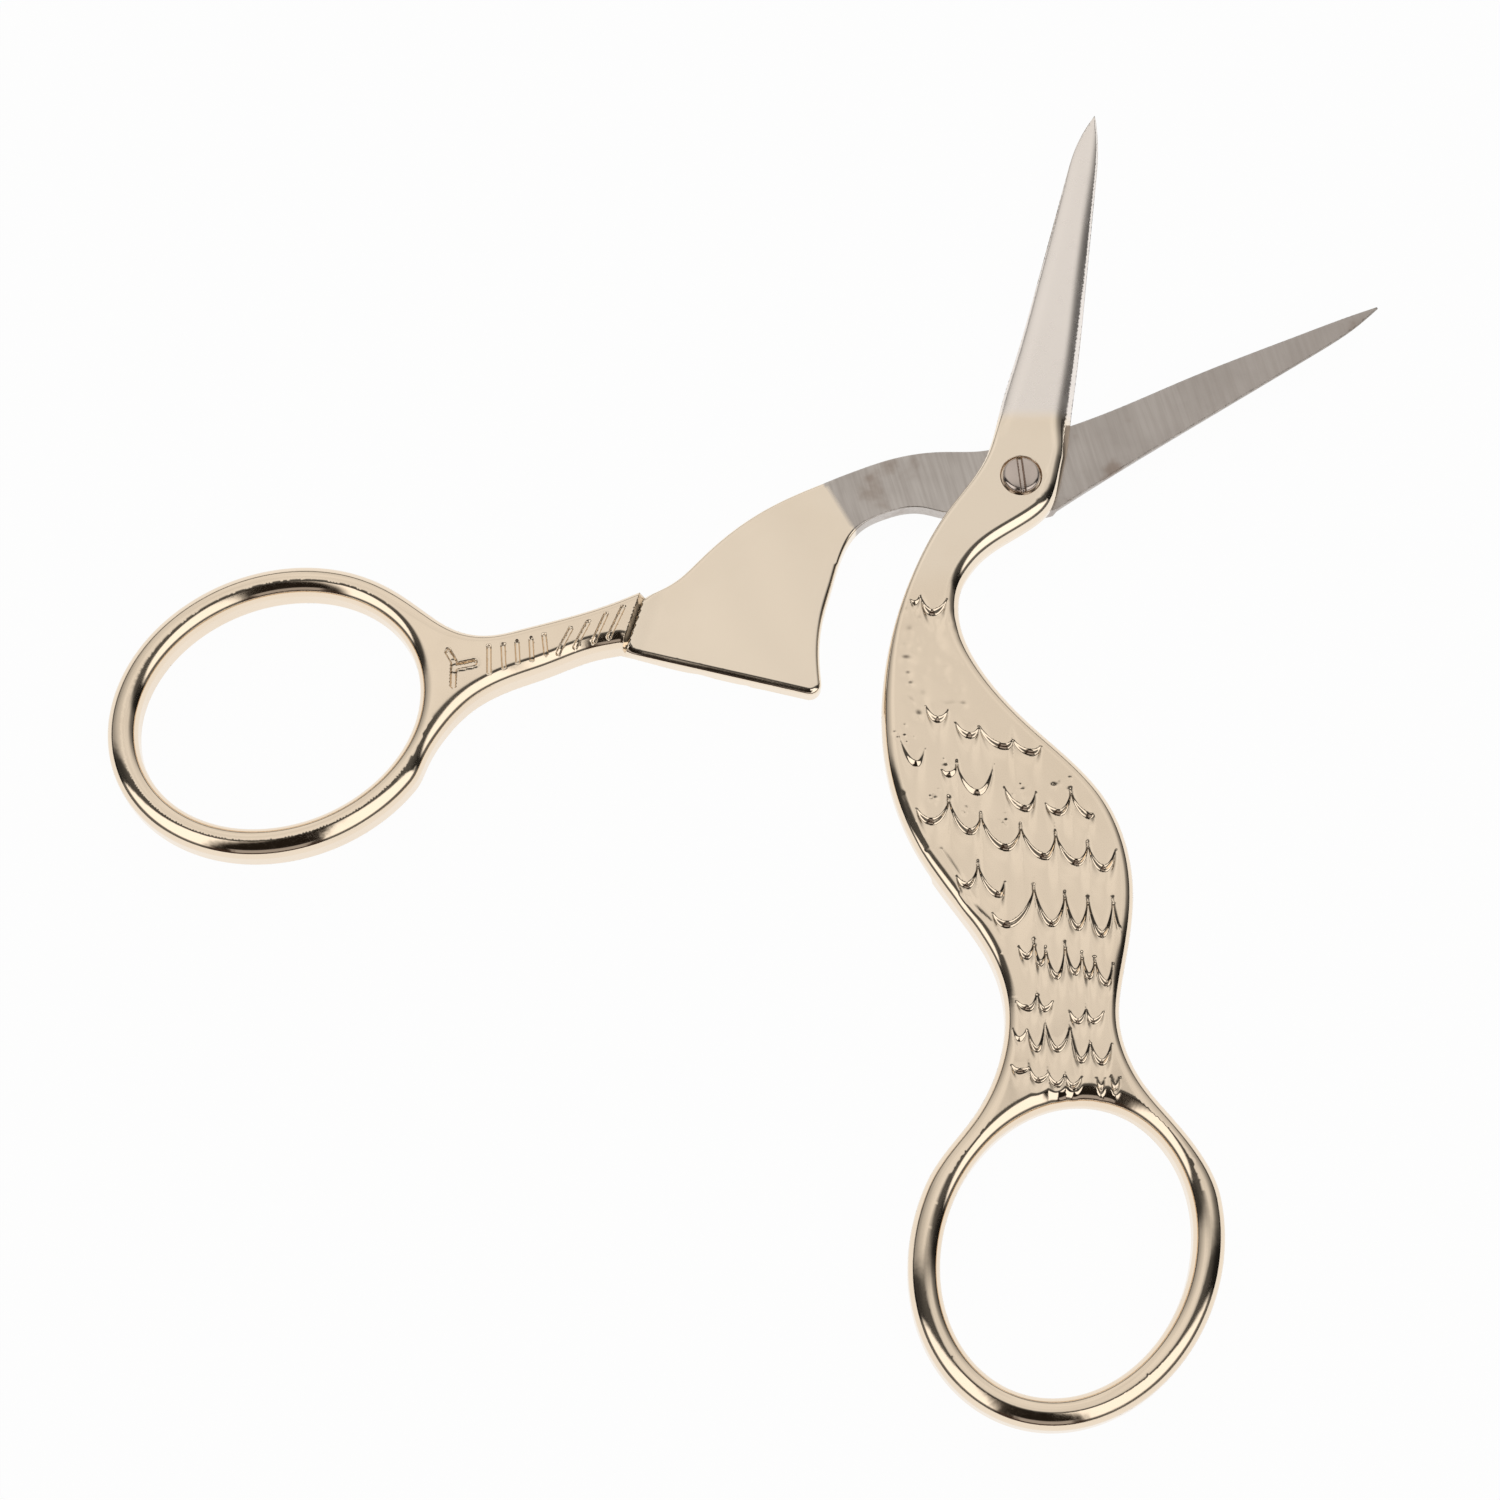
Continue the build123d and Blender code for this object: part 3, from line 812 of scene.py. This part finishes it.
def build_half(name, loops, top_round, under_round, top_rest, under_rest, fine_zone, extra):
    """One half as a closed mesh: two relief faces on one net of triangles, and walls between them."""
    border = Border(loops)
    bx, by = border.a.T
    rounds_top, rounds_under = top_round(bx, by, border.ids), under_round(bx, by, border.ids)
    wide = [width * share for width in (rounds_top[0], rounds_under[0]) for share in ROUND_SHARES]
    offsets = np.concatenate([border.a + border.n * w[:, None] for w in wide])
    keep = border.inside(*offsets.T)
    offsets = offsets[keep]
    offsets = offsets[border.near(*offsets.T)[0] > ROW_KEEPS * np.concatenate(wide)[keep]]
    x0, y0 = border.a.min(0)
    x1, y1 = border.a.max(0)

    def lattice(gap):
        gx, gy = np.meshgrid(np.arange(x0, x1, gap), np.arange(y0, y1, gap * 0.866))
        gx = gx + (np.arange(gx.shape[0])[:, None] % 2) * gap / 2
        return np.stack([gx.ravel(), gy.ravel()], 1)

    coarse, fine = lattice(COARSE), lattice(FINE)
    inner = np.concatenate(extra + [fine[fine_zone(*fine.T)], coarse[~fine_zone(*coarse.T)]])
    inner = inner[border.inside(*inner.T)]
    inner = inner[border.near(*inner.T)[0] > CLEAR_OF_BORDER]
    count = len(border.a)
    pts = thinned(np.concatenate([border.a, offsets, inner]), CLEAR_OF_OTHERS, count)
    edges = list(enumerate(border.after.tolist()))
    p, tris = net(pts, edges)
    tris = tris[border.inside(*p[tris].mean(1).T)]
    x, y = p.T
    zt, nt = face_heights(x, y, border, rounds_top, top_rest, 1)
    zb, nb = face_heights(x, y, border, rounds_under, under_rest, -1)
    n = len(p)
    points = [np.stack([x, y, zt], 1), np.stack([x, y, zb], 1)]
    for row in range(1, WALL_ROWS + 1):
        s = row / (WALL_ROWS + 1)
        points.append(np.stack([x[:count], y[:count], zt[:count] * (1 - s) + zb[:count] * s], 1))
    faces = [tuple(t) for t in tris] + [tuple(t[::-1] + n) for t in tris]
    normals = [nt[t] for t in tris] + [nb[t[::-1]] for t in tris]
    walls = -np.concatenate([border.n, np.zeros((count, 1))], 1)
    levels = [0, *(2 * n + row * count for row in range(WALL_ROWS)), n]
    for a, b in edges:
        for upper, under in zip(levels[:-1], levels[1:]):
            faces.append((upper + a, under + a, under + b, upper + b))
            normals.append(walls[[a, a, b, b]])
    return smooth_object(name, points, faces, normals)


def front_fine(x, y):
    """Where the front half has the finer net: the bird's body, the pocket's wall and the blade."""
    u, v = local(x, y, FRONT_ANGLE)
    body = (u > 9.5) & (u < 57) & (v < 9.5) & (v > -14)
    wall = (abs(side_of(x, y, pocket_ends) + POCKET_GAP) < 0.5) & (u > 5)
    return body | wall | (local(x, y, FRONT_BLADE)[0] > 2.0)


def rear_fine(x, y):
    """Where the rear half has the finer net: the strokes, the step and the blade."""
    u, v = local(x, y, REAR_ANGLE)
    leg = (u > 34.5) & (u < 54) & (v > -3.5) & (v < 6)
    wall = abs(side_of(x, y, step_ends) - 0.4) < 1.0
    return leg | wall | (local(x, y, REAR_BLADE)[0] > 2.0)


def along_line(ends, offsets, gap=0.16, beyond=1.5):
    """Rows of points beside a line. Offsets go towards the pivot."""
    a, b = ends
    length = np.hypot(*(b - a))
    n = left_of(a[None], b[None])
    if n[0] @ -a < 0:
        n = -n
    t = np.arange(-beyond, length + beyond, gap)[:, None]
    return np.concatenate([a + t * ((b - a) / length) + n * o for o in offsets])


def beside(chains, offsets, angle, gap=0.13):
    """Rows of points beside chains, from a handle's frame."""
    out = []
    for chain in chains:
        q = evenly(chain, max(2, int(lengths(chain)[-1] / gap)))
        n = left_of(0, np.gradient(q, axis=0))
        out += [q + n * o for o in offsets]
    return turned(np.concatenate(out), angle)


def both_sides(*offsets):
    return [-o for o in offsets] + [0.0] + list(offsets[::-1])


feather_points = beside([chain for chain, _ in rows], both_sides(0.21, 0.14, 0.09, 0.045), FRONT_ANGLE)
crease_points = beside(cusp_lines, both_sides(0.14, 0.07), FRONT_ANGLE, 0.2)
stroke_points = beside([ends for ends, _, _ in strokes], both_sides(0.25, 0.21, 0.17, 0.13, 0.09), REAR_ANGLE)
pocket_points = along_line(pocket_ends, [-POCKET_GAP + o for o in both_sides(0.13, 0.085, 0.045)])
step_points = along_line(step_ends, [-0.03, 0.0, 0.04, 0.10, 0.18, 0.26])
seat_points = np.concatenate([circle(r, 0.16) for r in (1.66, 1.70, 1.74, 1.78, 1.84)])

front_half = build_half(
    "front_half_finish", front_loops(), front_round, front_round_under, front_rest, front_under, front_fine,
    [feather_points, crease_points, pocket_points, seat_points])
rear_half = build_half(
    "rear_half_finish", rear_loops(), rear_round, rear_round_under, rear_rest, rear_under, rear_fine,
    [stroke_points, step_points])


def mark(obj, name, values):
    """A number at each of a mesh's points, for its material."""
    layer = obj.data.attributes.new(name, "FLOAT", "POINT")
    layer.data.foreach_set("value", np.asarray(values, np.float32))


def places(obj):
    """Where a mesh's points are in plan, in mm."""
    co = np.zeros(len(obj.data.vertices) * 3)
    obj.data.vertices.foreach_get("co", co)
    return co.reshape(-1, 3)[:, :2].T / MM


# The gold ends on the front blade at this pixel of the photograph
SILVER_PX = (1040, 412)
silver_from = plan(*SILVER_PX)[1]
fx, fy = places(front_half)
mark(front_half, "silver", ease(silver_from - 0.9, silver_from + 0.5, fy))
mark(front_half, "ground", np.zeros(len(fx)))
mark(front_half, "flat", 1 - ease(7.5, 10.5, local(fx, fy, FRONT_ANGLE)[0]))
rx, ry = places(rear_half)
ru, rv = local(rx, ry, REAR_ANGLE)
mark(rear_half, "silver", np.zeros(len(rx)))
mark(rear_half, "ground", 1 - ease(14.62, 14.74, ru + NECK_SLANT * rv))
mark(rear_half, "flat", ease(-0.3, 0.6, side_of(rx, ry, step_ends)))


class Graph:
    """Short ways to make shader nodes."""

    def __init__(self, tree):
        self.nodes, self.links = tree.nodes, tree.links
        self.nodes.clear()

    def put(self, node, key, value):
        """A link or a constant at one socket."""
        if isinstance(value, bpy.types.NodeSocket):
            self.links.new(value, node.inputs[key])
        else:
            node.inputs[key].default_value = value

    def node(self, kind, sockets=None, **settings):
        n = self.nodes.new(kind)
        for key, value in settings.items():
            setattr(n, key, value)
        for key, value in (sockets or {}).items():
            self.put(n, key, value)
        return n

    def math(self, how, a, b=0.0):
        return self.node("ShaderNodeMath", {0: a, 1: b}, operation=how).outputs[0]

    def add(self, a, b):
        return self.math("ADD", a, b)

    def less(self, a, b):
        return self.math("SUBTRACT", a, b)

    def times(self, first, *rest):
        for value in rest:
            first = self.math("MULTIPLY", first, value)
        return first

    def most(self, a, b):
        return self.math("MAXIMUM", a, b)

    def ramp(self, x, low, high, start=0.0, end=1.0):
        """A smooth change from start to end as x goes from low to high."""
        sockets = {"Value": x, "From Min": low, "From Max": high, "To Min": start, "To Max": end}
        return self.node("ShaderNodeMapRange", sockets, interpolation_type="SMOOTHSTEP").outputs[0]

    def mix(self, factor, a, b):
        """One colour turning into another."""
        return self.node("ShaderNodeMix", {0: factor, 6: a, 7: b}, data_type="RGBA").outputs[2]

    def noise(self, at, scale, detail=2.0, stretch=None, angle=0.0):
        if stretch:
            sockets = {"Vector": at, "Rotation": (0, 0, radians(angle)), "Scale": stretch}
            at = self.node("ShaderNodeMapping", sockets, vector_type="TEXTURE").outputs[0]
        sockets = {"Vector": at, "Scale": scale, "Detail": detail, "Roughness": 0.55}
        return self.node("ShaderNodeTexNoise", sockets).outputs[0]

    def attribute(self, name):
        return self.node("ShaderNodeAttribute", attribute_name=name).outputs["Fac"]

    def metal(self, colour, rough, height):
        """The graph's result: metal with fine marks."""
        sockets = {"Height": height, "Strength": 0.2, "Distance": 0.00003}
        bump = self.node("ShaderNodeBump", sockets).outputs[0]
        sockets = {"Base Color": colour, "Roughness": rough, "Metallic": 1.0, "Normal": bump}
        shader = self.node("ShaderNodeBsdfPrincipled", sockets)
        self.node("ShaderNodeOutputMaterial", {"Surface": shader.outputs[0]})


def new_material(name):
    m = bpy.data.materials.new(name)
    m.use_nodes = True
    return m, Graph(m.node_tree)


def rgb(*screen):
    """A colour on screen as a linear one."""
    return (*(c / 255 / 12.92 if c <= 10.31 else ((c / 255 + 0.055) / 1.055) ** 2.4 for c in screen), 1.0)


PLATE_GOLD = rgb(243, 228, 208)
BODY_GOLD = rgb(239, 222, 200)
WORN_GOLD = rgb(206, 182, 150)
SILVER = rgb(241, 233, 226)
NECK_STEEL = rgb(203, 196, 190)
BLADE_STEEL = rgb(184, 176, 170)
GRIND_STEEL = rgb(172, 163, 156)
CLOUD_STEEL = rgb(166, 157, 150)
STAIN = rgb(132, 108, 90)
SCREW_STEEL = rgb(196, 183, 174)
SCREW_STAIN = rgb(150, 132, 116)


def half_material(name, blade_angle):
    """Gold, with silver on the front blade and ground steel on the rear one."""
    m, g = new_material(name)
    at = g.node("ShaderNodeTexCoord").outputs["Object"]
    silver, ground, flat = (g.attribute(part) for part in ("silver", "ground", "flat"))
    fine, wide = g.noise(at, 900.0, 3.0), g.noise(at, 130.0, 3.0)
    lines = g.noise(at, 3200.0, 3.0, stretch=(22.0, 1.0, 1.0), angle=blade_angle + 78)
    gold = g.mix(flat, BODY_GOLD, PLATE_GOLD)
    gold = g.mix(g.ramp(wide, 0.45, 0.75, 0.0, 0.08), gold, WORN_GOLD)
    stain = g.times(g.ramp(g.noise(at, 210.0, 4.0), 0.56, 0.74, 0.0, 0.5), ground)
    east = g.node("ShaderNodeSeparateXYZ", {0: at}).outputs[0]
    bare = g.mix(g.ramp(east, -0.012, 0.030), NECK_STEEL, BLADE_STEEL)
    steel = g.mix(g.ramp(lines, 0.3, 0.75, 0.0, 0.55), bare, GRIND_STEEL)
    steel = g.mix(g.ramp(wide, 0.35, 0.7, 0.0, 0.4), steel, CLOUD_STEEL)
    steel = g.mix(stain, steel, STAIN)
    colour = g.mix(ground, g.mix(silver, gold, SILVER), steel)
    rough = g.add(g.ramp(wide, 0.3, 0.8, 0.07, 0.12), g.ramp(fine, 0.45, 0.8, 0.0, 0.05))
    rough = g.add(g.add(rough, g.times(silver, 0.16)), g.times(ground, 0.22))
    pores = g.times(fine, g.times(g.less(1.0, silver), 0.2))
    g.metal(colour, rough, g.add(pores, g.times(lines, g.times(ground, 0.5))))
    return m


def screw_material():
    m, g = new_material("screw_polished")
    at = g.node("ShaderNodeTexCoord").outputs["Object"]
    scratch = g.noise(at, 1400.0, 3.0, stretch=(5.0, 1.0, 1.0), angle=70)
    stain = g.ramp(g.noise(at, 800.0, 3.0), 0.60, 0.78, 0.0, 0.35)
    g.metal(g.mix(stain, SCREW_STEEL, SCREW_STAIN), g.ramp(scratch, 0.3, 0.8, 0.10, 0.24), scratch)
    return m


front_half.data.materials.append(half_material("gold_front_finish", FRONT_BLADE))
rear_half.data.materials.append(half_material("gold_rear_finish", REAR_BLADE))
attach(front_half, "front_half")
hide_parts("front_half")
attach(rear_half, "rear_half")
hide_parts("rear_half")

# Screw: radii of head and shank, and heights of the head's underside, its top and the shank's foot
HEAD, SHANK = 1.60, 1.10
HEAD_LOW, HEAD_HIGH, SHANK_FOOT = 3.72, 4.50, 0.04
# The head's dome, and the width and height of its rounded rim
DOME, RIM_WIDTH, RIM_HEIGHT = 0.11, 0.34, 0.26
# The slot: direction, half its width, depth, and how its walls slope
SLOT_ANGLE = -84.0
SLOT_HALF, SLOT_DEPTH = 0.22, 0.30
SLOT_IN, SLOT_OUT = 0.10, 0.06
# Spacing of the points on the head, and how near they may lie
HEAD_STEP = 0.09
HEAD_CLEAR = 0.03


def screw_top(x, y):
    """Height of the screw's head."""
    r = np.hypot(x, y)
    rim = np.clip((r - HEAD + RIM_WIDTH) / RIM_WIDTH, 0, 0.999)
    z = HEAD_HIGH - DOME * (r / HEAD) ** 2 - RIM_HEIGHT * (1 - np.sqrt(1 - rim**2))
    across = abs(local(x, y, SLOT_ANGLE)[1])
    return z - SLOT_DEPTH * (1 - ease(SLOT_HALF - SLOT_IN, SLOT_HALF + SLOT_OUT, across))


def build_screw():
    """The pivot screw: a domed head with a slot, its shank reaching the underside."""
    rim = circle(HEAD, HEAD_STEP)
    count = len(rim)
    radii = [*np.arange(0.1, HEAD - 0.02, HEAD_STEP), HEAD - 0.03, HEAD - 0.06, HEAD - 0.12]
    rings = [circle(r, HEAD_STEP) for r in radii]
    t = np.arange(-HEAD, HEAD, 0.07)
    for o in (SLOT_HALF - 0.07, SLOT_HALF - 0.02, SLOT_HALF + 0.03, SLOT_HALF + 0.09):
        for q in (-o, o):
            rings.append(turned(np.stack([t, np.full(len(t), q)], 1), SLOT_ANGLE))
    pts = np.concatenate(rings)
    pts = thinned(pts[np.hypot(*pts.T) < HEAD - 0.02], HEAD_CLEAR)
    p, tris = net(np.concatenate([rim, pts]), [(i, (i + 1) % count) for i in range(count)])
    x, y = p.T
    e = 0.012
    gx = (screw_top(x + e, y) - screw_top(x - e, y)) / (2 * e)
    gy = (screw_top(x, y + e) - screw_top(x, y - e)) / (2 * e)
    n = unit_normals(gx, gy)
    faces, normals = [tuple(t) for t in tris], [n[t] for t in tris]
    points = [np.stack([x, y, screw_top(x, y)], 1)]
    down = np.array([[0, 0, -1]])
    shank = rim * SHANK / HEAD
    start, base = 0, len(p)
    steps = [(rim, HEAD_LOW, False), (shank, HEAD_LOW, True), (shank, SHANK_FOOT, False)]
    for ring, level, faces_down in steps:
        points.append(np.concatenate([ring, np.full((count, 1), level)], 1))
        for i in range(count):
            j = (i + 1) % count
            faces.append((start + i, base + i, base + j, start + j))
            outward = np.concatenate([rim[[i, i, j, j]] / HEAD, np.zeros((4, 1))], 1)
            normals.append(down.repeat(4, 0) if faces_down else outward)
        start, base = base, base + count
    faces.append(tuple(start + count - 1 - i for i in range(count)))
    normals.append(down.repeat(count, 0))
    return smooth_object("screw_finish", points, faces, normals)


screw = build_screw()
screw.data.materials.append(screw_material())
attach(screw, "rear_half")
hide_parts("pivot_screw")


def floor_material():
    """Paper that looks white to the camera and in the metal, and keeps a faint shadow."""
    m, g = new_material("floor_white")
    path = g.node("ShaderNodeLightPath").outputs
    seen = g.most(path["Is Camera Ray"], g.most(path["Is Glossy Ray"], path["Is Transmission Ray"]))
    paper = g.node("ShaderNodeBsdfDiffuse", {"Color": (0.9, 0.9, 0.9, 1)}).outputs[0]
    glow = g.node("ShaderNodeEmission", {"Color": (1, 1, 1, 1), "Strength": 1.0}).outputs[0]
    mixed = g.node("ShaderNodeMixShader", {0: g.times(seen, 0.965), 1: paper, 2: glow}).outputs[0]
    g.node("ShaderNodeOutputMaterial", {"Surface": mixed})
    return m


bpy.ops.mesh.primitive_grid_add(x_subdivisions=2, y_subdivisions=2, size=4.0, location=(0, 0, 0))
floor = bpy.context.object
floor.name = "floor"
floor.data.materials.append(floor_material())

# The room that the metal mirrors, by direction: dx to the right, dy away from the camera, dz up
world = bpy.data.worlds.new("room")
bpy.context.scene.world = world
world.use_nodes = True
g = Graph(world.node_tree)
way = g.node("ShaderNodeTexCoord").outputs["Generated"]
dx, dy, dz = g.node("ShaderNodeSeparateXYZ", {0: way}).outputs
front, left = g.times(dy, -1.0), g.times(dx, -1.0)
# The ceiling, darker towards both sides, with faint clouds, and a dark line round the horizon
right_side, left_side = g.ramp(dx, 0.52, 0.93, 1.0, 0.15), g.ramp(left, 0.45, 0.97, 1.0, 0.42)
clouds = g.ramp(g.noise(way, 2.6, 1.0), 0.32, 0.68, 0.90, 1.04)
horizon = g.most(g.ramp(dz, 0.14, 0.24, 0.14, 1.0), g.ramp(dz, 0.10, 0.05, 0.14, 0.95))
above = g.times(g.ramp(dy, 0.09, 0.235, 0.09, 0.88), g.times(right_side, left_side))
overhead = g.times(above, clouds, horizon)
# A lamp on each side of the camera
lamp_right, lamp_left = g.less(dx, g.times(front, 0.34)), g.less(left, g.times(front, 0.42))
beside_camera = g.most(g.ramp(lamp_right, 0.0, 0.08), g.ramp(lamp_left, -0.03, 0.16))
lamps = g.times(beside_camera, g.ramp(front, 0.10, 0.18), g.ramp(dz, 0.27, 0.44, 0.1, 1.0))
# The dark brown side of the room behind the camera, redder near the floor
camera_side = g.times(g.ramp(front, 0.02, 0.12), g.less(1.0, beside_camera))
brown = g.mix(g.ramp(dz, 0.5, 0.25), (0.16, 0.12, 0.09, 1), (0.55, 0.33, 0.24, 1))
# A window on that side, and the paper's front edge
window = g.times(g.ramp(dz, 0.19, 0.24), g.ramp(dz, 0.60, 0.50), g.ramp(front, 0.6, 0.75))
window = g.times(window, g.ramp(g.math("ABSOLUTE", dx), 0.30, 0.22))
paper = g.times(g.ramp(dz, 0.08, 0.04), g.ramp(front, 0.5, 0.8))
# Each of them over the last, with its own brightness and colour
level, room = g.most(overhead, g.times(lamps, 1.3)), (1, 0.98, 0.95, 1)
parts = [(camera_side, 0.06, brown), (window, 0.40, (1, 0.92, 0.88, 1)), (paper, 1.1, (1, 0.98, 0.95, 1))]
for share, bright, colour in parts:
    level = g.most(level, g.times(share, bright))
    room = g.mix(share, room, colour)
# Plain white where the camera looks at the room itself
path = g.node("ShaderNodeLightPath").outputs
seen = g.most(path["Is Camera Ray"], path["Is Transmission Ray"])
strength = g.add(g.times(level, g.less(1.0, seen)), seen)
colour = g.mix(seen, room, (1, 1, 1, 1))
back = g.node("ShaderNodeBackground", {"Color": colour, "Strength": strength}).outputs[0]
g.node("ShaderNodeOutputWorld", {"Surface": back})

# The camera and the width of its sensor
SENSOR = 36.0
camera = bpy.data.objects.new("camera", bpy.data.cameras.new("camera"))
bpy.context.scene.collection.objects.link(camera)
aim = Vector(AIM) * MM
camera.location = aim + Vector((0, -cos(ELEVATION), sin(ELEVATION))) * DISTANCE * MM
camera.rotation_euler = (aim - camera.location).to_track_quat("-Z", "Y").to_euler()
camera.data.sensor_width = SENSOR
camera.data.lens = FOCAL_PX / PHOTO_SIZE * SENSOR
camera.data.clip_start = 0.01
bpy.context.scene.camera = camera
bpy.context.scene.view_settings.view_transform = "Standard"
